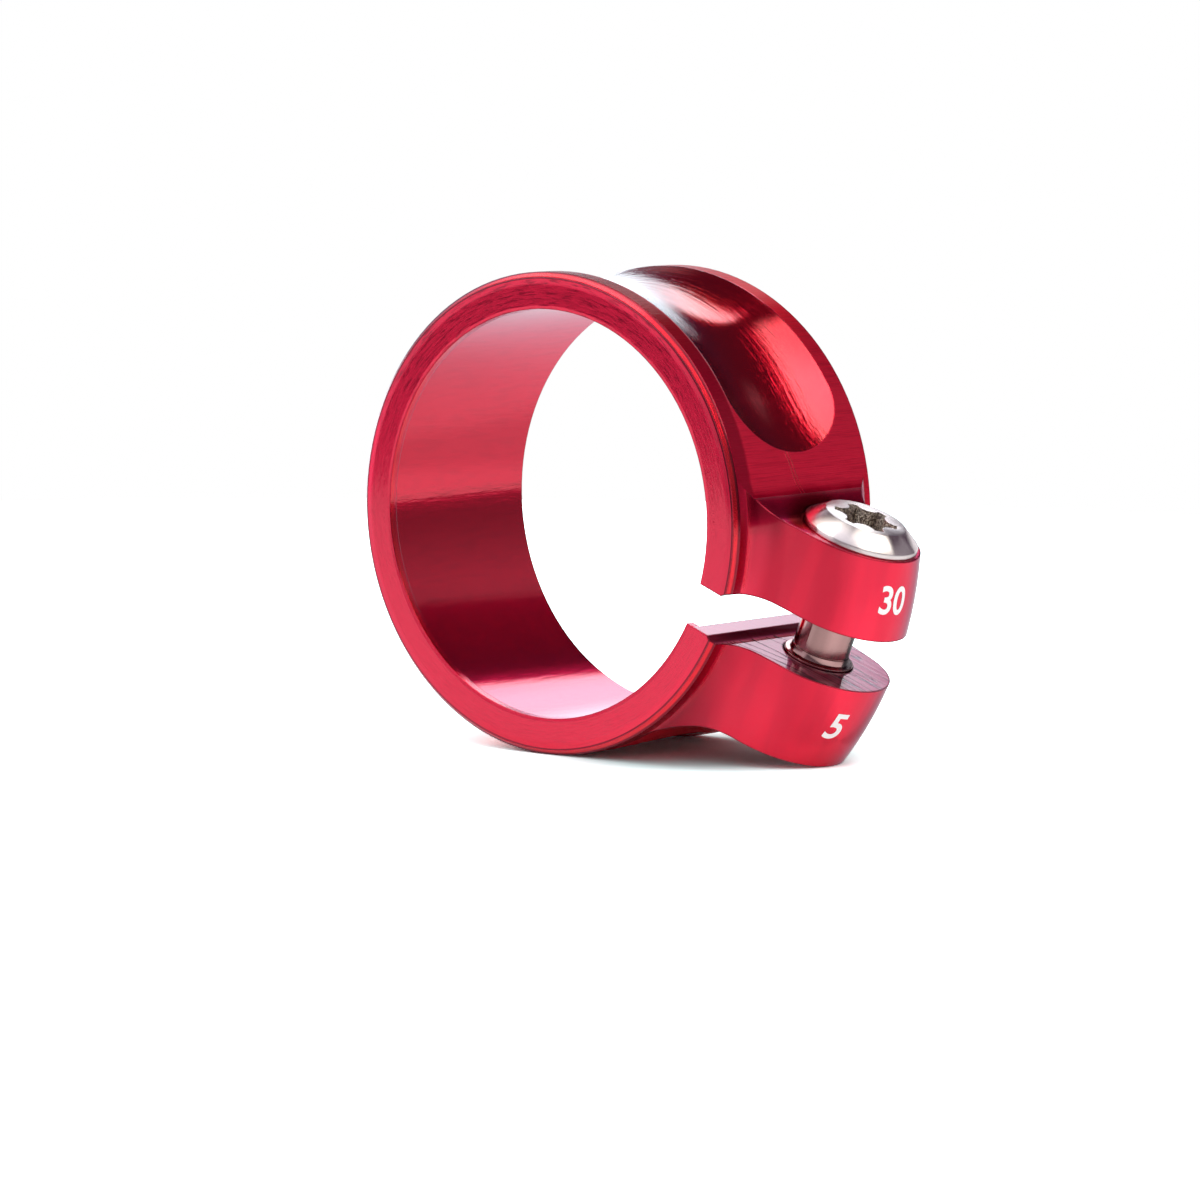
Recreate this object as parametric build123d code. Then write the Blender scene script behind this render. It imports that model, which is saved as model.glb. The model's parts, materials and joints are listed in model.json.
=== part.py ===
from build123d import *
import math
import os

# A split seatpost clamp, in millimetres: a turned and milled ring with two ears, and one waisted bolt.
# It is drawn in its turning position, with the bore along Z, the lip at +Z and the ears along +X,
# and at the end it is laid down as it rests on a table: bore along Y, lip to the front, ears to the right.

# Ring
bore_radius = 15.0
wall = 2.0
ring_width = 15.8
rim_chamfer = 0.4
bore_chamfer = 0.3
lip_step = 0.6
lip_length = 0.7

# Slot through the ring, milled wider between the ears
slot_width = 3.0
cut_face_length = 1.25
gap_step = 0.4
gap_cove_radius = 0.9

# Ears, turned round the bore and then milled flat above and below
ear_beyond_bolt = 5.45
ear_end_radius = 4.8
ear_flank_lean = 6.5
rim_land = 0.55
upper_ear_thickness = 5.6
lower_ear_thickness = 6.5
upper_root_fillet = 4.0
lower_root_fillet = 8.0

# Polished groove round the outside
groove_width = 11.9
groove_depth = 1.2
groove_cutter_radius = 20.0
groove_land = 1.5

# Bolt, measured from under its head
bolt_offset = 20.3
bolt_length = 15.0
thread_radius = 2.5
thread_length = 6.25
thread_runout = 0.3
tip_chamfer = 0.5
shank_radius = 2.0
neck_length = 2.0
head_radius = 4.1
head_top_radius = 2.85
head_height = 1.3
head_band = 0.35

# Six-lobe drive in the head
drive_across_lobes = 4.5
drive_across_flutes = 3.2
drive_flute_radius = 0.85
drive_depth = 1.5
drive_turn = 35.0

# Clearances
thread_clearance = 0.05
hole_clearance = 0.15
seat_clearance = 0.25

# Sizes that follow from the ones above
outer_radius = bore_radius + wall
lip_radius = bore_radius - lip_step
half_width = ring_width / 2
slot_half = slot_width / 2
gap_half = slot_half + gap_step
upper_face = gap_half + upper_ear_thickness
lower_face = gap_half + lower_ear_thickness
ear_reach = bolt_offset + ear_beyond_bolt
cut_past = 2 * ear_reach


def ring_blank():
    """The plain ring with its lip, turned about Z."""
    outline = Polyline(
        (lip_radius, half_width),
        (outer_radius - rim_chamfer, half_width),
        (outer_radius, half_width - rim_chamfer),
        (outer_radius, rim_chamfer - half_width),
        (outer_radius - rim_chamfer, -half_width),
        (bore_radius + bore_chamfer, -half_width),
        (bore_radius, bore_chamfer - half_width),
        (bore_radius, half_width - lip_length),
        (lip_radius, half_width - lip_length),
        close=True,
    )
    return revolve(Plane.XZ * make_face(outline), Axis.Z)


def turned_flange():
    """The tongue section of the ears, turned right round: concave feet, leaning flanks and a round end.

    Each foot starts on the ring and ends in its flank, so its radius follows from the flank's lean.
    """
    lean = math.radians(ear_flank_lean)
    sweep = 90 - ear_flank_lean
    foot_height = half_width - rim_land
    end = ear_reach - ear_end_radius
    flank_offset = end * math.sin(lean) + ear_end_radius
    foot_offset = outer_radius * math.sin(lean) + foot_height * math.cos(lean)
    foot_radius = (foot_offset - flank_offset) / (1 - math.sin(lean))
    foot = outer_radius + foot_radius
    front_foot = CenterArc((foot, foot_height), foot_radius, 180, sweep)
    rear_foot = CenterArc((foot, -foot_height), foot_radius, 180, -sweep)
    round_end = CenterArc((end, 0), ear_end_radius, sweep, -2 * sweep)
    mid_wall = bore_radius + wall / 2
    outline = [
        front_foot,
        Line(front_foot @ 1, round_end @ 0),
        round_end,
        Line(round_end @ 1, rear_foot @ 1),
        rear_foot,
        Polyline(rear_foot @ 0, (mid_wall, -foot_height), (mid_wall, foot_height), front_foot @ 0),
    ]
    return revolve(Plane.XZ * make_face(outline), Axis.Z)


def root_fillet_centre(face, fillet):
    """Centre of a root fillet that touches the ring outside and an ear face at that height."""
    height = face + fillet
    return math.sqrt((outer_radius + fillet) ** 2 - height ** 2), height


def root_angle(face, fillet):
    """Angle from the slot, in degrees, at which a root fillet leaves the ring."""
    across, height = root_fillet_centre(face, fillet)
    return math.degrees(math.atan2(height, across))


def ear_envelope():
    """Side view of both ears with their root fillets, taken through the whole width."""
    upper = root_fillet_centre(upper_face, upper_root_fillet)
    lower = root_fillet_centre(lower_face, lower_root_fillet)
    upper_start = 180 + root_angle(upper_face, upper_root_fillet)
    lower_start = 180 - root_angle(lower_face, lower_root_fillet)
    upper_arc = CenterArc(upper, upper_root_fillet, upper_start, 270 - upper_start)
    lower_arc = CenterArc((lower[0], -lower[1]), lower_root_fillet, lower_start, 90 - lower_start)
    outline = [
        Line((0, 0), upper_arc @ 0),
        upper_arc,
        Polyline(upper_arc @ 1, (cut_past, upper_face), (cut_past, -lower_face), lower_arc @ 1),
        lower_arc,
        Line(lower_arc @ 0, (0, 0)),
    ]
    return extrude(make_face(outline), ring_width, both=True)


def slot_cut():
    """The slot through the ring, which opens with a cove on each side to the gap between the ears."""
    cove_start = bore_radius + cut_face_length
    cove_end = cove_start + math.sqrt(gap_cove_radius ** 2 - (gap_cove_radius - gap_step) ** 2)
    cove_turn = math.degrees(math.acos(1 - gap_step / gap_cove_radius))
    cove_height = gap_half - gap_cove_radius
    upper_cove = CenterArc((cove_end, cove_height), gap_cove_radius, 90 + cove_turn, -cove_turn)
    lower_cove = CenterArc((cove_end, -cove_height), gap_cove_radius, 270, -cove_turn)
    inside = bore_radius / 2
    outline = [
        Line((inside, slot_half), upper_cove @ 0),
        upper_cove,
        Polyline(upper_cove @ 1, (cut_past, gap_half), (cut_past, -gap_half), lower_cove @ 0),
        lower_cove,
        Polyline(lower_cove @ 1, (inside, -slot_half), (inside, slot_half)),
    ]
    return extrude(make_face(outline), ring_width, both=True)


def groove_cut():
    """The hollow channel round the ring, with the run-out that a barrel cutter leaves at each ear."""
    half = groove_width / 2
    floor = outer_radius - groove_depth
    above = outer_radius + groove_depth
    channel_outline = [
        ThreePointArc((outer_radius, half), (floor, 0), (outer_radius, -half)),
        Polyline((outer_radius, -half), (above, -half), (above, half), (outer_radius, half)),
    ]
    cutter_edge = groove_cutter_radius - groove_depth
    cutter_outline = [
        ThreePointArc((cutter_edge, half), (groove_cutter_radius, 0), (cutter_edge, -half)),
        Polyline((cutter_edge, -half), (0, -half), (0, half), (cutter_edge, half)),
    ]
    cutter_reach = floor + groove_cutter_radius
    overrun_cosine = (outer_radius ** 2 + cutter_reach ** 2 - groove_cutter_radius ** 2) / (
        2 * outer_radius * cutter_reach
    )
    overrun = math.degrees(math.acos(overrun_cosine) + groove_land / outer_radius)
    start = root_angle(upper_face, upper_root_fillet) + overrun
    stop = 360 - root_angle(lower_face, lower_root_fillet) - overrun
    channel = Rot(0, 0, start) * (Plane.XZ * make_face(channel_outline))
    cutter = revolve(Plane.XZ * make_face(cutter_outline), Axis.Z)
    cut = revolve(channel, Axis.Z, stop - start)
    for angle in (start, stop):
        cut += Rot(0, 0, angle) * Pos(cutter_reach, 0, 0) * cutter
    return cut


def bolt_holes():
    """Clear hole and head seat in the upper ear, tapped hole in the lower ear, along Y."""
    upward = (Align.CENTER, Align.CENTER, Align.MIN)
    downward = (Align.CENTER, Align.CENTER, Align.MAX)
    clear_hole = Cylinder(thread_radius + hole_clearance, cut_past, align=upward)
    tapped_hole = Cylinder(thread_radius + thread_clearance, cut_past, align=downward)
    seat = Cylinder(head_radius + seat_clearance, cut_past, align=upward)
    along_bolt = Pos(bolt_offset, 0, 0) * Rot(-90, 0, 0)
    return along_bolt * (clear_hole + tapped_hole + Pos(0, 0, upper_face) * seat)


def bolt():
    """The waisted bolt with its conical head, along Z with the underside of the head at zero."""
    thread_top = thread_length - bolt_length
    neck_taper = thread_radius - shank_radius
    outline = Polyline(
        (0, head_height),
        (head_top_radius, head_height),
        (head_radius, head_band),
        (head_radius, 0),
        (thread_radius, 0),
        (thread_radius, -neck_length),
        (shank_radius, -neck_length - neck_taper),
        (shank_radius, thread_top),
        (thread_radius, thread_top - thread_runout),
        (thread_radius, tip_chamfer - bolt_length),
        (thread_radius - tip_chamfer, -bolt_length),
        (0, -bolt_length),
        close=True,
    )
    flute_place = drive_across_flutes / 2 + drive_flute_radius
    flutes = PolarLocations(flute_place, 6, start_angle=30) * Circle(drive_flute_radius)
    drive = Circle(drive_across_lobes / 2) - flutes
    recess = Pos(0, 0, head_height) * Rot(0, 0, drive_turn) * extrude(drive, -drive_depth)
    return revolve(Plane.XZ * make_face(outline), Axis.Z) - recess


def clamp_body():
    """The ring and its ears, one piece."""
    solid = ring_blank() + (turned_flange() & ear_envelope())
    return solid - slot_cut() - groove_cut() - bolt_holes()


# At rest the ring and the outer corner of the lower ear stand on one level surface.
rest_angle = math.degrees(math.asin(outer_radius / ear_reach) - math.asin(lower_face / ear_reach))
laid_down = Rot(0, rest_angle, 0) * Rot(90, 0, 0)
bolt_place = Pos(bolt_offset, upper_face, 0) * Rot(-90, 0, 0)

os.makedirs("parts", exist_ok=True)
export_step(laid_down * clamp_body(), "parts/clamp_body.step")
export_step(laid_down * bolt_place * bolt(), "parts/clamp_bolt.step")
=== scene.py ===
"""Looks of a split seatpost clamp: red anodised ring and ears, and a titanium cross bolt with its thread."""

import json
import math
from types import SimpleNamespace

import bmesh
import bpy
from mathutils import Matrix, Vector
from mathutils.bvhtree import BVHTree


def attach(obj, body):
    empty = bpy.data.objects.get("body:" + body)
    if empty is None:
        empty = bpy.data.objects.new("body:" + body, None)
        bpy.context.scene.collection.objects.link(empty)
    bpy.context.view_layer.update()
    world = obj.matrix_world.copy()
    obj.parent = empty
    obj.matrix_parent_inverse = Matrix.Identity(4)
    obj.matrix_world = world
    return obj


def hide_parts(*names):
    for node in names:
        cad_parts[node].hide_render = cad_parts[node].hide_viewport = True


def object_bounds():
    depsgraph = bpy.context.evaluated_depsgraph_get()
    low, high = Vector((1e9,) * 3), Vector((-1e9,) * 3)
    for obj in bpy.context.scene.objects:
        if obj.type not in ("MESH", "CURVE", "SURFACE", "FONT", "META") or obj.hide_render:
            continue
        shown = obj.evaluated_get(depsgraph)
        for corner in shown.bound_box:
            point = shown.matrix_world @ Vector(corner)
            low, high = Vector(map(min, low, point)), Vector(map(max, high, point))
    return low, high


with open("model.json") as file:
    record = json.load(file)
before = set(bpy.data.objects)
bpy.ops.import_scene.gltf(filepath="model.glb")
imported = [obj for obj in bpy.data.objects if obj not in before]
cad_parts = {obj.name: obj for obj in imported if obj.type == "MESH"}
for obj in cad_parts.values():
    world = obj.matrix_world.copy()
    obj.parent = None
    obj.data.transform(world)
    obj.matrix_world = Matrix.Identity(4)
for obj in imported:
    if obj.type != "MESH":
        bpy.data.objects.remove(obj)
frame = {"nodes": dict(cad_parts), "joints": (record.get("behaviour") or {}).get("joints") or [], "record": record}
cad_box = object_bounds()

MM = 0.001
DEGREES = math.degrees(1)

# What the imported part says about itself
clamp_body = frame["nodes"]["clamp_body"]
bore_radius = frame["record"]["mounts"][0]["dims"]["r_mm"]
bolt_turn = frame["joints"][0]
bolt_seat = Vector(bolt_turn["pos_m"])
bolt_axis = Vector(bolt_turn["axis"]).normalized()
across_bore = Vector((0, 1, 0))
along_ears = across_bore.cross(bolt_axis).normalized()
floor_height = cad_box[0][2]

# Ring and ears, in millimetres
outer_radius = 17.0
half_width = 7.9
groove_half = 5.95
slot_half = 1.5
gap_half = 1.9

# Bolt, in millimetres from under its head
head_radius = 4.1
head_top_radius = 2.85
head_height = 1.3
head_band = 0.35
neck_radius = 2.5
neck_length = 2.0
neck_taper = 0.5
shank_radius = 2.0
thread_radius = 2.5
thread_top = -8.75
thread_pitch = 0.8
bolt_tip = -15.0
lobe_radius = 2.25
flute_radius = 0.85
flute_place = 2.45
drive_depth = 1.5
drive_turn = math.radians(35)
steps_round_head = 96

# Reds of the anodising, with painted shade and a painted highlight among them
deep_red = (0.665, 0.003, 0.033)
clear_red = (0.725, 0.005, 0.040)
rim_red = (0.76, 0.006, 0.022)
front_red = (0.75, 0.012, 0.056)
outside_red = (0.86, 0.026, 0.072)
# darker dye and painted shade on the land in front of the groove
front_land_dye_and_shade_red = (0.22, 0.002, 0.022)
# random darker bands on the ear walls, and painted shade towards the ear roots
ear_band_and_root_shade_red = (0.40, 0.001, 0.026)
groove_red = (0.66, 0.010, 0.030)
# painted highlight along the groove's front edge
groove_edge_highlight_pink = (0.90, 0.55, 0.60)
# darker streaks of the deepest lines, with painted shade on the upper front
streak_and_shade_red = (0.36, 0.001, 0.025)
gap_mauve = (0.42, 0.085, 0.140)
# painted shade in the slot's cove
cove_shade_brown = (0.13, 0.005, 0.022)
score_brown = (0.05, 0.002, 0.008)
# painted shade along the broken edges
edge_shade_brown = (0.16, 0.001, 0.014)
# painted shade lines at the rim chamfers
rim_line_brown = (0.10, 0.001, 0.012)
ridge_red = (0.95, 0.030, 0.075)
# painted shade on the seat beside the bolt head
stain_brown = (0.08, 0.001, 0.010)

# What the dye leaves of a reflection at a flat slant
slant_tint_plain = (0.50, 0.52, 0.75)
slant_tint_groove = (0.12, 0.28, 0.34)
slant_tint_outside = (0.0, 0.05, 0.10)
# reflections on the seat with painted shade, tinted brown
slant_tint_stain = (0.30, 0.10, 0.08)

# Tones of the titanium, each from its dark to its light lines; the shank's are darker and redder, with painted
# shade and painted red reflection
head_tones = (0.62, 0.565, 0.565), (0.70, 0.645, 0.64)
# painted shade and painted red reflection on the shank between the ears
shank_shade_and_reflection_tones = (0.32, 0.185, 0.18), (0.41, 0.25, 0.24)
drive_tones = (0.13, 0.10, 0.085), (0.92, 0.82, 0.72)
side_streak_black = (0.035, 0.028, 0.032)

# Tones of the laser mark and of the table
mark_tones = (0.95, 0.93, 0.93), (1.0, 1.0, 1.0)
table_tones = (0.93, 0.93, 0.93), (0.96, 0.96, 0.96)

# Whites of the studio
box_white = (1.0, 0.97, 0.87)
window_white = (0.95, 1.0, 1.04)
wall_white = (1.0, 1.0, 1.06)
back_white = (1.0, 0.97, 1.02)
strip_white = (1.0, 1.0, 1.0)
room_tone = (0.045, 0.008, 0.035)
table_white = (0.78, 1.0, 1.0)


class Finish:
    """The nodes of one finish, with a short call for each kind that the finishes share."""

    def __init__(self, tree):
        self.tree = tree
        tree.nodes.clear()

    def feed(self, socket, value):
        """Links a socket to another node's output, or sets it to a plain value."""
        if isinstance(value, bpy.types.NodeSocket):
            self.tree.links.new(value, socket)
        else:
            socket.default_value = value

    def node(self, kind, settings, inputs):
        node = self.tree.nodes.new("ShaderNode" + kind)
        for name, value in settings.items():
            setattr(node, name, value)
        for name, value in inputs.items():
            self.feed(node.inputs[name], value)
        return node

    def math(self, operation, *values):
        return self.node("Math", {"operation": operation}, dict(enumerate(values))).outputs[0]

    def product(self, *factors):
        level = factors[0]
        for factor in factors[1:]:
            level = self.math("MULTIPLY", level, factor)
        return level

    def total(self, *levels):
        level = levels[0]
        for other in levels[1:]:
            level = self.math("ADD", level, other)
        return level

    def plus(self, base, value, factor):
        """A base level with a factor of another value added to it."""
        return self.math("MULTIPLY_ADD", value, factor, base)

    def magnitude(self, value):
        return self.math("ABSOLUTE", value)

    def outside_of(self, mask):
        return self.math("SUBTRACT", 1.0, mask)

    def vector(self, operation, *values):
        node = self.node("VectorMath", {"operation": operation}, dict(enumerate(values)))
        return node.outputs["Value" if operation in ("DOT_PRODUCT", "LENGTH") else "Vector"]

    def scaled(self, vector, factor):
        node = self.node("VectorMath", {"operation": "SCALE"}, {"Vector": vector, "Scale": factor})
        return node.outputs["Vector"]

    def combined(self, x, y, z):
        return self.node("CombineXYZ", {}, {"X": x, "Y": y, "Z": z}).outputs[0]

    def separated(self, vector):
        return self.node("SeparateXYZ", {}, {"Vector": vector}).outputs

    def ramp(self, value, start, end):
        """A soft step from 0 at the start to 1 at the end."""
        inputs = {"Value": value, "From Min": start, "From Max": end}
        return self.node("MapRange", {"interpolation_type": "SMOOTHSTEP"}, inputs).outputs[0]

    def between(self, value, low, high, soft):
        """1 between two values and 0 beyond them, with soft steps."""
        rising = self.ramp(value, low - soft / 2, low + soft / 2)
        falling = self.ramp(value, high + soft / 2, high - soft / 2)
        return self.product(rising, falling)

    def remapped(self, value, low, high):
        inputs = {"Value": value, "To Min": low, "To Max": high}
        return self.node("MapRange", {}, inputs).outputs[0]

    def mixed(self, factor, first, second):
        inputs = {"Factor": factor, "A": first, "B": second}
        return self.node("Mix", {"data_type": "FLOAT"}, inputs).outputs["Result"]

    def mixed_vector(self, factor, first, second):
        node = self.node("Mix", {"data_type": "VECTOR"}, {"Factor": factor})
        self.feed(node.inputs[4], first)
        self.feed(node.inputs[5], second)
        return node.outputs[1]

    def mixed_colour(self, factor, first, second):
        node = self.node("Mix", {"data_type": "RGBA"}, {"Factor": factor})
        for socket, value in ((node.inputs[6], first), (node.inputs[7], second)):
            self.feed(socket, (*value, 1) if isinstance(value, tuple) else value)
        return node.outputs[2]

    def tinted(self, colour, tint, mask, share=1.0):
        """A colour mixed towards a tint by a share of a mask."""
        factor = mask if share == 1.0 else self.product(mask, share)
        return self.mixed_colour(factor, colour, tint)

    def noise(self, vector, scale, detail, roughness):
        inputs = {"Vector": vector, "Scale": scale, "Detail": detail, "Roughness": roughness}
        return self.node("TexNoise", {}, inputs).outputs["Fac"]

    def place(self):
        """Object coordinates in millimetres."""
        here = self.node("TexCoord", {}, {}).outputs["Object"]
        return self.scaled(here, 1 / MM)

    def facing(self):
        return self.node("NewGeometry", {}, {}).outputs["Normal"]

    def bump(self, height, depth, normal):
        inputs = {"Height": height, "Strength": 1.0, "Distance": depth * MM, "Normal": normal}
        return self.node("Bump", {}, inputs).outputs["Normal"]

    def rounded_edges(self, radius):
        """Normals of edges rounded to a radius in millimetres, which may differ from place to place."""
        inputs = {"Radius": self.product(radius, MM)}
        return self.node("Bevel", {"samples": 6}, inputs).outputs["Normal"]

    def finished(self, shader):
        self.node("OutputMaterial", {}, {"Surface": shader.outputs[0]})


class Surround(Finish):
    """The finish of the studio surround, laid out by azimuth and elevation from the clamp in degrees."""

    def __init__(self, tree):
        super().__init__(tree)
        self.direction = self.vector("NORMALIZE", self.place())
        x, y, z = self.separated(self.direction)
        self.azimuth = self.product(self.math("ARCTAN2", x, y), DEGREES)
        self.elevation = self.product(self.math("ARCSINE", z), DEGREES)

    def beyond(self, edge_normal, soft):
        """The half of the surround on one side of a straight edge."""
        return self.ramp(self.vector("DOT_PRODUCT", self.direction, edge_normal), -soft, soft)

    def sector(self, middle, half, soft):
        turned = self.math("WRAP", self.math("SUBTRACT", self.azimuth, middle), 180.0, -180.0)
        return self.ramp(self.magnitude(turned), half + soft, half - soft)

    def rising(self, start, end):
        return self.ramp(self.elevation, start, end)

    def slanted(self, slope, start, end):
        """A step in elevation whose edge climbs with the azimuth."""
        level = self.math("SUBTRACT", self.elevation, self.product(self.azimuth, slope))
        return self.ramp(level, start, end)


def new_material(name, kind=Finish):
    material = bpy.data.materials.new(name)
    material.use_nodes = True
    return material, kind(material.node_tree)


def from_bolt(f, place):
    """A spot's offset from the bolt's seat, its height along the bolt and its spoke from the bolt's axis."""
    offset = f.vector("SUBTRACT", place, tuple(bolt_seat / MM))
    height = f.vector("DOT_PRODUCT", offset, tuple(bolt_axis))
    spoke = f.vector("SUBTRACT", offset, f.scaled(f.combined(*bolt_axis), height))
    return offset, height, spoke


def stained_seat(f, place):
    """Painted shade on the seat beside the bolt head, on the side towards the ring."""
    _, height, spoke = from_bolt(f, place)
    near_bolt = f.ramp(f.vector("LENGTH", spoke), head_radius + 1.8, head_radius + 0.3)
    inner_side = f.ramp(f.vector("DOT_PRODUCT", spoke, tuple(along_ears)), -0.8, -2.6)
    return f.product(near_bolt, inner_side, f.between(height, -0.05, 3.0, 0.04))


def clamp_regions(f):
    """Where a spot of the clamp lies: its place in millimetres, and a mask for each kind of face."""
    at = SimpleNamespace()
    at.place = f.place()
    at.x, at.y, at.z = f.separated(at.place)
    at.radius = f.vector("LENGTH", f.combined(at.x, 0.0, at.z))
    at.along = f.vector("DOT_PRODUCT", at.place, tuple(along_ears))
    at.across = f.vector("DOT_PRODUCT", at.place, tuple(bolt_axis))
    at.from_slot = f.magnitude(at.across)
    at.width = f.magnitude(at.y)
    at.facing = f.facing()
    facing_side = f.magnitude(f.separated(at.facing)[1])

    in_slot = f.product(f.ramp(at.along, 10, 10.1), f.ramp(at.from_slot, gap_half + 0.06, gap_half + 0.01))
    beyond_bore = f.ramp(at.radius, bore_radius + 0.02, bore_radius + 0.06)
    at.gap_face = f.product(in_slot, beyond_bore, f.ramp(facing_side, 0.6, 0.4))
    at.cove = f.product(f.between(at.from_slot, slot_half + 0.04, gap_half - 0.03, 0.05), at.gap_face)
    at.groove = f.product(
        f.ramp(at.radius, outer_radius - 0.005, outer_radius - 0.02),
        beyond_bore,
        f.ramp(at.width, groove_half + 0.06, groove_half + 0.01),
        f.outside_of(in_slot),
    )
    at.outside = f.product(
        f.between(at.radius, outer_radius - 0.012, outer_radius + 0.3, 0.012),
        f.ramp(facing_side, 0.3, 0.2),
    )
    at.front = f.ramp(at.y, -half_width + 0.1, -half_width + 0.02)
    at.bore = f.between(at.radius, bore_radius - 0.05, bore_radius + 0.05, 0.04)
    at.ear = f.ramp(at.radius, outer_radius + 0.03, outer_radius + 0.3)
    at.lip = f.ramp(at.radius, bore_radius - 0.1, bore_radius - 0.3)
    at.rim = f.product(f.ramp(at.width, half_width - 0.43, half_width - 0.37), f.ramp(at.ear, 0.5, 0.0))
    # painted shade: dark lines at the edges of the rim chamfers
    outer_line = f.product(at.rim, f.ramp(at.radius, outer_radius - 0.17, outer_radius - 0.09))
    inner_line = f.product(at.front, f.between(at.radius, outer_radius - 0.47, outer_radius - 0.38, 0.05))
    at.rim_line = f.math("MAXIMUM", outer_line, inner_line)
    # painted shade beside the bolt head, towards the ring
    at.stain = stained_seat(f, at.place)
    return at


def turned_lines(f, at, fineness):
    """Fine lines left by turning about the bore: quick along the section, slow round the ring."""
    change_round_ring = 1.5
    turn_x, _, turn_z = f.separated(f.vector("NORMALIZE", f.combined(at.x, 0.0, at.z)))
    spot = f.combined(f.product(turn_x, change_round_ring), f.product(turn_z, change_round_ring), at.radius)
    inputs = {"Vector": spot, "W": at.y, "Scale": fineness, "Detail": 4.0, "Roughness": 0.65}
    return f.node("TexNoise", {"noise_dimensions": "4D"}, inputs).outputs["Fac"]


def tool_marks(f, at):
    """The pair of fine ridges between the end of the groove and the bolt head."""
    half_spacing = 0.17
    angle = f.product(f.math("ARCTAN2", at.across, at.along), DEGREES)
    middle = f.plus(1.64, angle, -0.08)
    from_middle = f.magnitude(f.math("SUBTRACT", at.y, middle))
    from_ridge = f.magnitude(f.math("SUBTRACT", from_middle, half_spacing))
    return f.product(f.ramp(from_ridge, 0.09, 0.02), f.between(angle, 27.0, 38.5, 1.0), at.outside)


def cutter_scratches(f, at):
    """Curved lines that the slotting cutter leaves on the gap faces, and the few deep scores among them."""
    bend = f.product(at.along, at.along, 0.012)
    sweep = f.math("ADD", f.product(at.along, -0.63), f.plus(bend, at.y, 0.72))
    drift = f.math("ADD", f.product(at.along, 0.06), f.product(at.y, 0.06))
    fine = f.noise(f.combined(f.product(sweep, 3.2), drift, at.across), 1.6, 3.0, 0.6)
    coarse = f.noise(f.combined(sweep, f.product(drift, 0.9), at.across), 1.7, 1.0, 0.5)
    scores = f.ramp(f.magnitude(f.math("SUBTRACT", coarse, 0.5)), 0.035, 0.005)
    on_flat = f.ramp(at.from_slot, gap_half - 0.03, gap_half - 0.01)
    return fine, f.product(scores, on_flat, at.gap_face)


def clamp_marks(f, at):
    """The lines that each tool leaves on its own faces, and how deep they are there."""
    marks = SimpleNamespace()
    marks.turning = turned_lines(f, at, 8.5)
    buffing = turned_lines(f, at, 2.6)
    milling = f.noise(f.vector("MULTIPLY", at.place, (1.0, 0.02, 1.0)), 11.0, 2.0, 0.6)
    honing = f.noise(f.vector("MULTIPLY", at.place, (1.0, 0.16, 1.0)), 2.6, 3.0, 0.6)
    scratching, marks.scores = cutter_scratches(f, at)
    marks.ridges = tool_marks(f, at)
    lines = f.mixed(at.groove, marks.turning, buffing)
    lines = f.mixed(at.outside, lines, milling)
    lines = f.mixed(at.bore, lines, honing)
    marks.lines = f.mixed(at.gap_face, lines, scratching)
    depth = f.mixed(at.groove, f.mixed(at.ear, 1.0, 0.2), 1.5)
    depth = f.mixed(at.bore, depth, 0.35)
    depth = f.mixed(at.outside, depth, 1.0)
    marks.depth = f.mixed(at.gap_face, depth, 0.6)
    return marks


def clamp_relief(f, at, marks):
    """The height of lines, ridges and scores, on a crowned front and gap faces that lean a little."""
    towards_rim = f.product(f.ramp(at.radius, outer_radius - 0.95, outer_radius - 0.35), -3.2)
    towards_lip = f.product(f.ramp(at.radius, bore_radius - 0.32, bore_radius - 0.6), -1.2)
    height = f.product(marks.lines, f.mixed(at.front, marks.depth, 0.45))
    height = f.plus(height, marks.ridges, 5.0)
    height = f.plus(height, f.math("ADD", towards_rim, towards_lip), at.front)
    height = f.plus(height, marks.scores, -0.6)
    return f.plus(height, f.product(at.along, at.gap_face), 4.0)


def broken_edges(f, at):
    """Normals of the broken edges, and a mask of them that leaves out the edges of the groove."""
    edge = f.rounded_edges(f.mixed(at.lip, 0.18, 0.10))
    on_edge = f.ramp(f.vector("DOT_PRODUCT", edge, at.facing), 0.999, 0.97)
    by_groove = f.product(
        f.between(at.radius, outer_radius - 0.15, outer_radius + 0.05, 0.05),
        f.ramp(at.width, half_width - 0.55, half_width - 0.75),
    )
    return edge, f.product(on_edge, f.outside_of(by_groove))


def ear_bands_and_root_shade(f, at):
    """Darker bands along the walls of the ears, and painted shade towards their roots."""
    bands = f.noise(f.combined(at.along, at.y, f.product(at.across, 0.06)), 0.55, 2.0, 0.5)
    bands_and_root_shade = f.product(f.ramp(bands, 0.58, 0.38), 0.22)
    # painted shade, darker towards the roots of the ears
    bands_and_root_shade = f.plus(bands_and_root_shade, f.ramp(at.along, 20.5, 15.5), 0.5)
    bands_and_root_shade = f.plus(bands_and_root_shade, f.ramp(at.along, 18.4, 16.8), 0.35)
    return f.product(bands_and_root_shade, at.ear)


def line_streaks_and_top_shade(f, at, marks):
    """The deepest of the fine lines, which look darker, with painted shade that makes them darkest on the upper
    half of the front.
    """
    on_turned = f.mixed(at.groove, 0.42, 0.1)
    # painted shade: the front's streaks darken towards its top
    front_top_shade = f.mixed(f.ramp(at.z, 0.0, 13.0), 0.2, 1.1)
    darkness = f.mixed(at.outside, f.mixed(at.front, on_turned, front_top_shade), 0.26)
    return f.product(f.ramp(marks.lines, 0.52, 0.36), f.product(marks.depth, darkness))


def groove_edge_highlight(f, at):
    """A painted highlight along the front edge of the groove, over the top of the ring."""
    return f.product(
        f.between(at.y, -groove_half - 0.10, -groove_half + 0.03, 0.05),
        f.between(at.radius, outer_radius - 0.12, outer_radius + 0.02, 0.02),
        f.ramp(at.z, 7.0, 12.0),
    )


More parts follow.
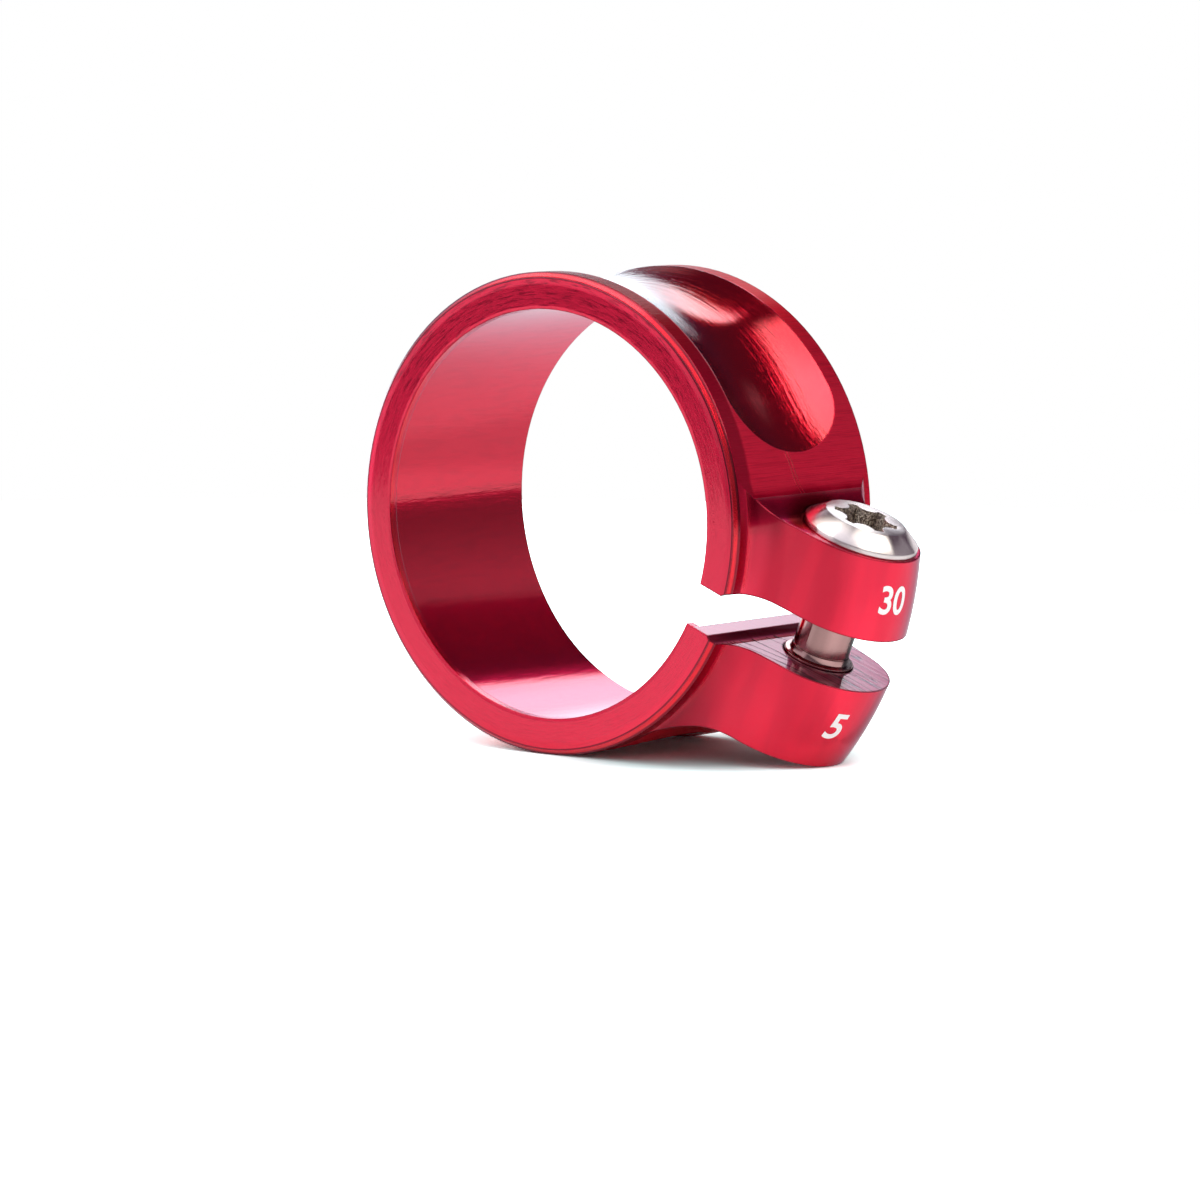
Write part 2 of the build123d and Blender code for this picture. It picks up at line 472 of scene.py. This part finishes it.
def anodised_colour_and_shade(f, at, marks, on_edge):
    """The red of each face, from its dye and its lines, with painted shade and a painted highlight in places."""
    # darker dye and painted shade on the land in front of the groove
    front_land_dye_and_shade = f.product(at.outside, f.ramp(at.y, 0.1 - groove_half, -0.3 - groove_half))
    colour = f.mixed_colour(f.noise(at.place, 0.35, 2.0, 0.5), deep_red, clear_red)
    colour = f.tinted(colour, rim_red, at.rim)
    colour = f.tinted(colour, front_red, at.front)
    colour = f.tinted(colour, outside_red, at.outside)
    colour = f.tinted(colour, front_land_dye_and_shade_red, front_land_dye_and_shade, 0.7)
    # random bands and painted shade towards the ear roots
    colour = f.tinted(colour, ear_band_and_root_shade_red, ear_bands_and_root_shade(f, at))
    colour = f.tinted(colour, groove_red, at.groove)
    colour = f.tinted(colour, streak_and_shade_red, line_streaks_and_top_shade(f, at, marks))
    colour = f.tinted(colour, gap_mauve, at.gap_face, 0.8)
    # painted shade in the slot's cove
    colour = f.tinted(colour, cove_shade_brown, at.cove, 0.85)
    colour = f.tinted(colour, score_brown, marks.scores, 0.8)
    # painted shade along the broken edges
    colour = f.tinted(colour, edge_shade_brown, on_edge, 0.6)
    # painted shade lines at the rim chamfers
    colour = f.tinted(colour, rim_line_brown, at.rim_line, 0.8)
    colour = f.tinted(colour, ridge_red, marks.ridges, 0.55)
    # painted shade on the seat beside the bolt head
    colour = f.tinted(colour, stain_brown, at.stain, 0.85)
    # painted highlight along the groove's front edge
    return f.tinted(colour, groove_edge_highlight_pink, groove_edge_highlight(f, at), 0.7)


def anodised_roughness(f, at, marks):
    """Turned faces are satin, the milled outside and the gap faces duller, and the groove is polished."""
    roughness = f.mixed(at.outside, f.remapped(marks.turning, 0.16, 0.28), 0.40)
    roughness = f.mixed(at.groove, roughness, 0.13)
    return f.mixed(at.gap_face, roughness, 0.42)


def slant_tint(f, at):
    """The tint of reflections at a flat slant, for each kind of face."""
    tint = f.mixed_colour(at.groove, slant_tint_plain, slant_tint_groove)
    tint = f.tinted(tint, slant_tint_outside, at.outside)
    return f.tinted(tint, slant_tint_stain, at.stain)


def seal_weight(f, at, on_edge):
    """How glossy the sealed skin is: least on the milled outside, the seat with painted shade and the broken
    edges.
    """
    weight = f.plus(1.0, at.outside, -0.85)
    weight = f.plus(weight, at.ear, -0.15)
    weight = f.plus(weight, at.cove, -0.5)
    weight = f.plus(weight, at.stain, -0.8)
    return f.plus(weight, f.math("MAXIMUM", at.rim_line, on_edge), -0.3)


def across_lines(f, at):
    """The direction across the lines of a face: they run round the ring, and across it on the outside."""
    lay = f.vector("NORMALIZE", f.combined(at.z, 0.0, f.product(at.x, -1.0)))
    lay = f.mixed_vector(at.outside, lay, tuple(across_bore))
    return f.vector("NORMALIZE", f.vector("CROSS_PRODUCT", lay, at.facing))


def red_anodised():
    """Clear red anodising over turned and milled aluminium, polished in the groove."""
    material, f = new_material("red_anodising")
    metal_depth = 0.03
    seal_depth = 0.014
    at = clamp_regions(f)
    marks = clamp_marks(f, at)
    height = clamp_relief(f, at, marks)
    edge, on_edge = broken_edges(f, at)
    shader = f.node("BsdfPrincipled", {}, {
        "Base Color": anodised_colour_and_shade(f, at, marks, on_edge),
        "Metallic": 0.93,
        "Roughness": anodised_roughness(f, at, marks),
        "Specular Tint": slant_tint(f, at),
        "Anisotropic": 0.5,
        "Tangent": across_lines(f, at),
        "Normal": f.bump(height, metal_depth, edge),
        "Coat Weight": seal_weight(f, at, on_edge),
        "Coat Roughness": 0.06,
        "Coat IOR": 1.40,
        "Coat Normal": f.bump(height, seal_depth, edge),
    })
    f.finished(shader)
    return material


def dark_side_streak(f, grain, height, spoke):
    """A dark grainy streak down one side of the shank."""
    streak_side = along_ears * 0.75 + across_bore * 0.66
    reach = f.plus(f.vector("DOT_PRODUCT", spoke, tuple(streak_side)), grain, 0.6)
    return f.product(f.ramp(reach, 1.78, 1.98), f.between(height, thread_top - 0.5, -4.5, 0.3))


def bare_titanium():
    """Bare turned titanium, with the grainy skin of a forged drive inside the head."""
    material, f = new_material("turned_titanium")
    turning_depth = 0.0012
    grain_depth = 0.12
    place, height, spoke = from_bolt(f, f.place())
    radius = f.vector("LENGTH", spoke)
    in_drive = f.product(
        f.ramp(radius, lobe_radius + 0.06, lobe_radius - 0.02),
        f.between(height, head_height - drive_depth - 0.5, head_height - 0.03, 0.04),
    )
    on_shank = f.ramp(height, 0.1, -0.3)
    turning = f.noise(f.combined(radius, height, 0.0), 14.0, 3.0, 0.6)
    grain = f.noise(place, 8.5, 3.0, 0.65)
    side_streak = dark_side_streak(f, grain, height, spoke)
    edge = f.rounded_edges(0.04)
    turned = f.bump(turning, turning_depth, edge)
    skin = f.bump(grain, grain_depth, edge)
    normal = f.mixed_vector(in_drive, turned, skin)
    head_tone = f.mixed_colour(turning, *head_tones)
    # painted shade and painted red reflection on the shank between the ears
    shank_shaded_tone = f.mixed_colour(turning, *shank_shade_and_reflection_tones)
    colour = f.mixed_colour(on_shank, head_tone, shank_shaded_tone)
    drive_tone = f.mixed_colour(f.ramp(grain, 0.44, 0.62), *drive_tones)
    colour = f.mixed_colour(in_drive, colour, drive_tone)
    colour = f.tinted(colour, side_streak_black, side_streak)
    roughness = f.mixed(on_shank, f.remapped(turning, 0.22, 0.28), f.remapped(turning, 0.09, 0.13))
    roughness = f.mixed(f.math("MAXIMUM", in_drive, side_streak), roughness, 0.3)
    inputs = {"Vector": f.vector("CROSS_PRODUCT", tuple(bolt_axis), spoke)}
    lay = f.node("VectorTransform", {"convert_from": "OBJECT", "convert_to": "WORLD"}, inputs).outputs[0]
    across_lay = f.vector("NORMALIZE", f.vector("CROSS_PRODUCT", lay, f.facing()))
    shader = f.node("BsdfPrincipled", {}, {
        "Base Color": colour,
        "Metallic": 1.0,
        "Roughness": roughness,
        "Anisotropic": 0.95,
        "Tangent": across_lay,
        "Normal": normal,
    })
    f.finished(shader)
    return material


def burnt_mark():
    """Anodising bleached white by a marking laser, a little uneven."""
    material, f = new_material("laser_mark")
    speckle = f.noise(f.place(), 9.0, 2.0, 0.6)
    shader = f.node("BsdfPrincipled", {}, {
        "Base Color": f.mixed_colour(speckle, *mark_tones),
        "Roughness": f.remapped(speckle, 0.5, 0.65),
        "Normal": f.bump(speckle, 0.004, f.facing()),
    })
    f.finished(shader)
    return material


def new_piece(name, bm, material):
    """A finished piece at the origin, shaded smooth apart from its sharp edges."""
    sharp_angle = math.radians(32)
    mesh = bpy.data.meshes.new(name)
    bm.to_mesh(mesh)
    bm.free()
    mesh.shade_smooth()
    mesh.set_sharp_from_angle(angle=sharp_angle)
    mesh.materials.append(material)
    piece = bpy.data.objects.new(name, mesh)
    bpy.context.scene.collection.objects.link(piece)
    return piece


def wire(bm, points):
    """A run of edges through (radius, height) points, in the plane of X and Z."""
    corners = [bm.verts.new((radius, 0, height)) for radius, height in points]
    return corners + [bm.edges.new(pair) for pair in zip(corners, corners[1:])]


def turn_profile(bm, points):
    """Turns a run of points right round the bolt."""
    bmesh.ops.spin(
        bm,
        geom=wire(bm, points),
        cent=(0, 0, 0),
        axis=(0, 0, 1),
        angle=math.tau,
        steps=steps_round_head,
        use_merge=True,
    )


def arc(bm, start, middle, turn, steps):
    """A run of edges from one point round a middle, about Z."""
    corner = bm.verts.new(start)
    bmesh.ops.spin(bm, geom=[corner], cent=middle, axis=(0, 0, 1), angle=turn, steps=steps)


def drive_outline(bm):
    """One closed run of edges round the six-lobe drive, at the top of the head."""
    half_sixth = math.pi / 6
    half_flute = math.acos(
        (lobe_radius ** 2 + flute_place ** 2 - flute_radius ** 2) / (2 * lobe_radius * flute_place)
    )
    half_lobe = half_sixth - half_flute
    flute_turn = 2 * math.asin(lobe_radius * math.sin(half_flute) / flute_radius)
    start = Vector((lobe_radius, 0, head_height))
    start.rotate(Matrix.Rotation(half_lobe, 3, "Z"))
    flute_middle = Vector((flute_place, 0, head_height))
    flute_middle.rotate(Matrix.Rotation(half_sixth, 3, "Z"))
    arc(bm, start, flute_middle, -flute_turn, 14)
    arc(bm, start, (0, 0, 0), -2 * half_lobe, 5)
    sixth = bm.verts[:] + bm.edges[:]
    for step in range(1, 6):
        copy = bmesh.ops.duplicate(bm, geom=sixth)["geom"]
        copied = [part for part in copy if isinstance(part, bmesh.types.BMVert)]
        turn = Matrix.Rotation(step * math.pi / 3, 3, "Z")
        bmesh.ops.rotate(bm, verts=copied, cent=(0, 0, 0), matrix=turn)
    bmesh.ops.remove_doubles(bm, verts=bm.verts[:], dist=0.002)
    bmesh.ops.rotate(bm, verts=bm.verts[:], cent=(0, 0, 0), matrix=Matrix.Rotation(drive_turn, 3, "Z"))
    return bm.edges[:]


def bolt_drive(bm):
    """The drive's walls and floor, and the flat ring round it."""
    rim = drive_outline(bm)
    circle = bmesh.ops.create_circle(bm, segments=steps_round_head, radius=head_top_radius)["verts"]
    bmesh.ops.translate(bm, verts=circle, vec=(0, 0, head_height))
    around = set(circle)
    outer_edges = [edge for edge in bm.edges if edge.verts[0] in around]
    bmesh.ops.bridge_loops(bm, edges=rim + outer_edges)
    wall = bmesh.ops.extrude_edge_only(bm, edges=rim)["geom"]
    foot = [part for part in wall if isinstance(part, bmesh.types.BMVert)]
    bmesh.ops.translate(bm, verts=foot, vec=(0, 0, -drive_depth))
    foot_edges = [
        part for part in wall
        if isinstance(part, bmesh.types.BMEdge) and all(corner in foot for corner in part.verts)
    ]
    bmesh.ops.contextual_create(bm, geom=foot_edges)


def bolt_thread(bm):
    """A rolled thread: one tooth section carried down the bolt in a helix."""
    steps_a_turn = 48
    below_collar = 1.5
    above_tip = 0.45
    turns_left_off = 0.6
    start = thread_top - below_collar
    turns = (start - above_tip - bolt_tip) / thread_pitch - turns_left_off
    half = thread_pitch / 2
    root = shank_radius + 0.02
    crest = thread_radius - 0.02
    tooth = [
        (root, half), (root + 0.03, half - 0.07), (crest - 0.06, 0.1), (crest, 0.04),
        (crest, -0.04), (crest - 0.06, -0.1), (root + 0.03, 0.07 - half), (root, -half),
    ]
    steps = round(turns * steps_a_turn)
    bmesh.ops.spin(
        bm,
        geom=wire(bm, [(radius, start + height) for radius, height in tooth]),
        cent=(0, 0, 0),
        axis=(0, 0, 1),
        dvec=(0, 0, -thread_pitch / steps_a_turn),
        angle=steps / steps_a_turn * math.tau,
        steps=steps,
    )
    bmesh.ops.remove_doubles(bm, verts=bm.verts[:], dist=0.0005)


def bolt_profile():
    """Half section of the bolt, from the flat ring on its head past the collar down to its tip."""
    head = [
        (head_top_radius, head_height),
        (head_top_radius + 0.06, head_height - 0.02),
        (head_radius - 0.05, head_band + 0.07),
        (head_radius, head_band - 0.03),
        (head_radius, 0.06),
        (head_radius - 0.06, 0),
    ]
    shank = [
        (neck_radius, 0),
        (neck_radius, -neck_length),
        (shank_radius, -neck_length - neck_taper),
        (shank_radius, thread_top + 0.10),
        (shank_radius - 0.03, thread_top + 0.07),
        (shank_radius - 0.03, thread_top + 0.04),
    ]
    collar = [
        (shank_radius + 0.06, thread_top),
        (shank_radius + 0.10, thread_top - 0.36),
        (shank_radius + 0.13, thread_top - 0.41),
        (thread_radius - 0.07, thread_top - 0.45),
        (thread_radius, thread_top - 0.51),
        (thread_radius, thread_top - 0.75),
        (thread_radius - 0.05, thread_top - 0.85),
    ]
    core = [
        (shank_radius, thread_top - 1.15),
        (shank_radius, bolt_tip + 0.5),
    ]
    tip = [
        (thread_radius - 0.05, bolt_tip + 0.5),
        (thread_radius - 0.5, bolt_tip + 0.03),
        (thread_radius - 0.56, bolt_tip),
        (0.001, bolt_tip),
    ]
    return head + shank + collar + core + tip


def bolt_shape():
    """The whole bolt along Z, with the underside of its head at zero, in millimetres."""
    thread = bmesh.new()
    bolt_thread(thread)
    drive = bmesh.new()
    bolt_drive(drive)
    turned = bmesh.new()
    turn_profile(turned, bolt_profile())
    whole = bmesh.new()
    for part in (turned, drive, thread):
        part_mesh = bpy.data.meshes.new("part")
        part.to_mesh(part_mesh)
        part.free()
        whole.from_mesh(part_mesh)
        bpy.data.meshes.remove(part_mesh)
    bmesh.ops.remove_doubles(whole, verts=whole.verts[:], dist=0.0008)
    bmesh.ops.recalc_face_normals(whole, faces=whole.faces[:])
    return whole


def cross_bolt(material):
    """The bolt in its place across the ears."""
    bm = bolt_shape()
    turn = Matrix((along_ears, across_bore, bolt_axis)).transposed().to_4x4()
    placing = Matrix.Translation(bolt_seat) @ turn @ Matrix.Scale(MM, 4)
    bmesh.ops.transform(bm, matrix=placing, verts=bm.verts[:])
    piece = new_piece("cross_bolt", bm, material)
    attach(piece, "bolt")
    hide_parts("clamp_bolt")


def flat_digits(name, digits, height, lean):
    """Plain digits as a flat mesh, fine enough to follow a round wall."""
    digit_share = 0.7
    boldness = 0.02
    longest_edge = 0.25
    curve = bpy.data.curves.new(name, "FONT")
    curve.body = digits
    curve.size = height / digit_share
    curve.shear = lean
    curve.offset = boldness * curve.size
    curve.align_x = "CENTER"
    curve.align_y = "CENTER"
    curve.resolution_u = 6
    flat = bpy.data.objects.new(name, curve)
    bpy.context.scene.collection.objects.link(flat)
    mesh = bpy.data.meshes.new_from_object(flat.evaluated_get(bpy.context.evaluated_depsgraph_get()))
    bpy.data.objects.remove(flat)
    bm = bmesh.new()
    bm.from_mesh(mesh)
    bpy.data.meshes.remove(mesh)
    bmesh.ops.triangulate(bm, faces=bm.faces[:])
    long_edges = [edge for edge in bm.edges if edge.calc_length() > longest_edge]
    bmesh.ops.subdivide_edges(bm, edges=long_edges, cuts=4, use_grid_fill=True)
    bmesh.ops.triangulate(bm, faces=bm.faces[:])
    return bm


def ear_figure(name, digits, height, across, along_bolt, lean, material):
    """Plain digits laid on the round end of an ear: across the ear and along the bolt, in millimetres."""
    slimness = 0.85
    well_outside = 30
    thickness = 0.012
    bm = flat_digits(name, digits, height, lean)
    wall = BVHTree.FromPolygons(
        [corner.co for corner in clamp_body.data.vertices],
        [face.vertices for face in clamp_body.data.polygons],
    )
    for corner in bm.verts:
        start = along_ears * well_outside + across_bore * (across + corner.co.x * slimness)
        start = start + bolt_axis * (along_bolt + corner.co.y)
        spot, normal, _, _ = wall.ray_cast(start * MM, -along_ears)
        corner.co = spot + normal * thickness * MM
    bmesh.ops.recalc_face_normals(bm, faces=bm.faces[:])
    piece = new_piece(name, bm, material)
    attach(piece, "clamp")


def mirrored_table(f, x, y):
    """How bright the metal sees the table, by direction and distance from the bolt."""
    azimuth = f.product(f.math("ARCTAN2", x, y), DEGREES)
    distance = f.vector("LENGTH", f.combined(x, y, 0.0))
    far_back = f.product(f.between(azimuth, -80, -28, 16), f.ramp(distance, 42, 54))
    nearby = f.product(f.ramp(distance, 42, 12), f.ramp(y, 6, -4))
    level = f.plus(1.06, f.between(azimuth, -22, 10, 16), -0.27)
    level = f.plus(level, f.between(azimuth, 30, 140, 25), 0.23)
    level = f.plus(level, f.ramp(f.magnitude(azimuth), 148, 166), -0.19)
    level = f.plus(level, far_back, 0.15)
    return f.plus(level, nearby, 0.26)


def seen_table(f, x, y):
    """How bright the camera sees the table: white, and plain where the clamp's shadow falls."""
    from_shadow = f.vector("LENGTH", f.combined(f.plus(1.2, x, 0.085), f.product(y, 0.09), 0.0))
    return f.mixed(f.ramp(from_shadow, 0.5, 1.4), 0.72, 2.9)


def table_top():
    """The pale table that the clamp stands on."""
    table_radius = 0.215
    table_middle = (-0.019, -0.023, floor_height)
    material, f = new_material("pale_table")
    place = f.place()
    tone = f.mixed_colour(f.noise(place, 0.05, 2.0, 0.5), *table_tones)
    x, y, _ = f.separated(f.vector("SUBTRACT", place, tuple(bolt_seat / MM)))
    path = f.node("LightPath", {}, {}).outputs
    glow = f.scaled((1.0, 1.0, 1.0), f.mixed(path["Is Glossy Ray"], 1.0, mirrored_table(f, x, y)))
    glow = f.mixed_vector(path["Is Camera Ray"], glow, f.scaled(table_white, seen_table(f, x, y)))
    f.finished(f.node("BsdfDiffuse", {}, {"Color": f.vector("MULTIPLY", tone, glow)}))
    bm = bmesh.new()
    disc = bmesh.ops.create_circle(bm, cap_ends=True, segments=128, radius=table_radius)["verts"]
    bmesh.ops.translate(bm, verts=disc, vec=table_middle)
    piece = new_piece("table_top", bm, material)


def right_box(s):
    """The large soft box on the right, dimmer towards its top."""
    return s.product(
        s.beyond((0.273, -0.843, 0.463), 0.025),
        s.beyond((0.931, 0.269, -0.244), 0.06),
        s.rising(26, 32),
        s.sector(60, 56, 8),
        s.plus(4.0, s.rising(44, 68), -1.9),
    )


def key_box(s):
    """The soft box on the left, above the front."""
    return s.product(s.sector(-130, 47, 8), s.rising(25, 50), s.rising(88, 82), 2.2)


def overhead_box(s):
    return s.product(s.rising(75, 81), 1.2)


def window(s):
    """The bright window behind the clamp on the left, with slanted edges."""
    return s.product(
        s.sector(-30, 23, 3),
        s.rising(-5, -2),
        s.slanted(0.75, 62.5, 57.5),
        s.slanted(1.35, 84.0, 79.0),
        s.math("MAXIMUM", s.ramp(s.azimuth, -23, -32), s.slanted(1.25, 54.9, 58.9)),
        s.plus(2.2, s.rising(22, 36), 1.6),
    )


def front_wall(s):
    """The dim wall behind the camera, lighter upwards."""
    level = s.plus(0.12, s.rising(4, 14), 0.16)
    return s.product(s.sector(180, 72, 10), s.plus(level, s.rising(25, 66), 1.14))


def low_wall(s):
    """A pale part of the front wall on the left, with a notch in its lower edge."""
    lower_edge = s.math("MAXIMUM", s.slanted(0.42, 61, 67), s.slanted(-0.58, -81, -76))
    return s.product(s.sector(-136, 34, 8), lower_edge, s.rising(32, 26), 0.7)


def left_wall(s):
    return s.product(s.sector(-78, 28, 9), s.rising(60, 45), s.plus(0.30, s.rising(5, 38), 0.68))


def back_wall(s):
    return s.product(s.sector(42, 31, 7), s.rising(31.5, 28.5), s.plus(0.12, s.rising(-5, 28), 0.22))


def low_strips(s):
    """White strips along the end of the table: behind, on the left and farther round."""
    behind = s.product(s.sector(-9, 16, 4), s.rising(14.5, 11.5), 1.1)
    left = s.product(s.sector(-84, 30, 4), s.between(s.elevation, -8, 5, 3), 1.1)
    farther = s.product(s.sector(-40, 18, 4), s.rising(-2, -5), 1.1)
    return s.total(behind, left, farther)


def studio_surround():
    """The dim studio round the table with its soft boxes, which only the polished metal mirrors."""
    material, s = new_material("studio_surround", Surround)
    boxes = s.total(right_box(s), key_box(s), overhead_box(s))
    walls = s.total(front_wall(s), low_wall(s), left_wall(s))
    back = s.total(back_wall(s), 0.012)
    colour = s.vector("ADD", s.scaled(box_white, boxes), s.scaled(window_white, window(s)))
    colour = s.vector("ADD", colour, s.scaled(wall_white, walls))
    colour = s.vector("ADD", colour, s.scaled(back_white, back))
    colour = s.vector("ADD", colour, s.scaled(strip_white, low_strips(s)))
    colour = s.vector("ADD", colour, room_tone)
    s.finished(s.node("Emission", {}, {"Color": colour}))
    material.cycles.emission_sampling = "NONE"
    bm = bmesh.new()
    bmesh.ops.create_uvsphere(bm, u_segments=64, v_segments=32, radius=0.9)
    bmesh.ops.reverse_faces(bm, faces=bm.faces[:])
    piece = new_piece("studio_surround", bm, material)
    piece.visible_camera = False
    piece.visible_diffuse = False
    piece.visible_shadow = False


def studio_light():
    """An even white surround and one broad lamp above the camera."""
    even_level = 0.95
    seen_level = 1.0
    world = bpy.data.worlds.new("studio")
    world.use_nodes = True
    bpy.context.scene.world = world
    f = Finish(world.node_tree)
    seen = f.node("LightPath", {}, {}).outputs["Is Camera Ray"]
    strength = f.mixed(seen, even_level, seen_level)
    shader = f.node("Background", {}, {"Color": (1, 1, 1, 1), "Strength": strength})
    f.node("OutputWorld", {}, {"Surface": shader.outputs[0]})
    lamp = bpy.data.lights.new("broad_lamp", "AREA")
    lamp.size = 2.5
    lamp.energy = 14
    above = bpy.data.objects.new("broad_lamp", lamp)
    above.location = (0.4, -0.8, 2.2)
    above.rotation_euler = (Vector((0, 0, 0)) - above.location).to_track_quat("-Z", "Y").to_euler()
    above.visible_glossy = False
    bpy.context.scene.collection.objects.link(above)


def camera():
    """The photograph's view, worked out from the ring's ellipses."""
    azimuth = math.radians(39.0)
    elevation = math.radians(5.86)
    distance = 390.8
    left_shift = 1.09
    down_shift = 6.63
    back = Vector((
        math.sin(azimuth) * math.cos(elevation),
        -math.cos(azimuth) * math.cos(elevation),
        math.sin(elevation),
    ))
    right = Vector((math.cos(azimuth), math.sin(azimuth), 0))
    up = back.cross(right)
    lens = bpy.data.cameras.new("camera")
    lens.sensor_width = 36
    lens.lens = 164.55
    lens.clip_start = 0.01
    viewer = bpy.data.objects.new("camera", lens)
    viewer.matrix_world = Matrix((right, up, back)).transposed().to_4x4()
    viewer.location = (back * distance - right * left_shift - up * down_shift) * MM
    bpy.context.scene.collection.objects.link(viewer)
    bpy.context.scene.camera = viewer


camera()
studio_light()
table_top()
studio_surround()

anodised = red_anodised()
clamp_body.data.materials.clear()
clamp_body.data.materials.append(anodised)
cross_bolt(bare_titanium())
mark = burnt_mark()
ear_figure("bore_size_mark", "30", 1.9, -0.97, 4.77, 0.05, mark)
ear_figure("bolt_size_mark", "5", 2.0, -2.08, -4.96, 0.12, mark)

bpy.context.scene.view_settings.view_transform = "Standard"
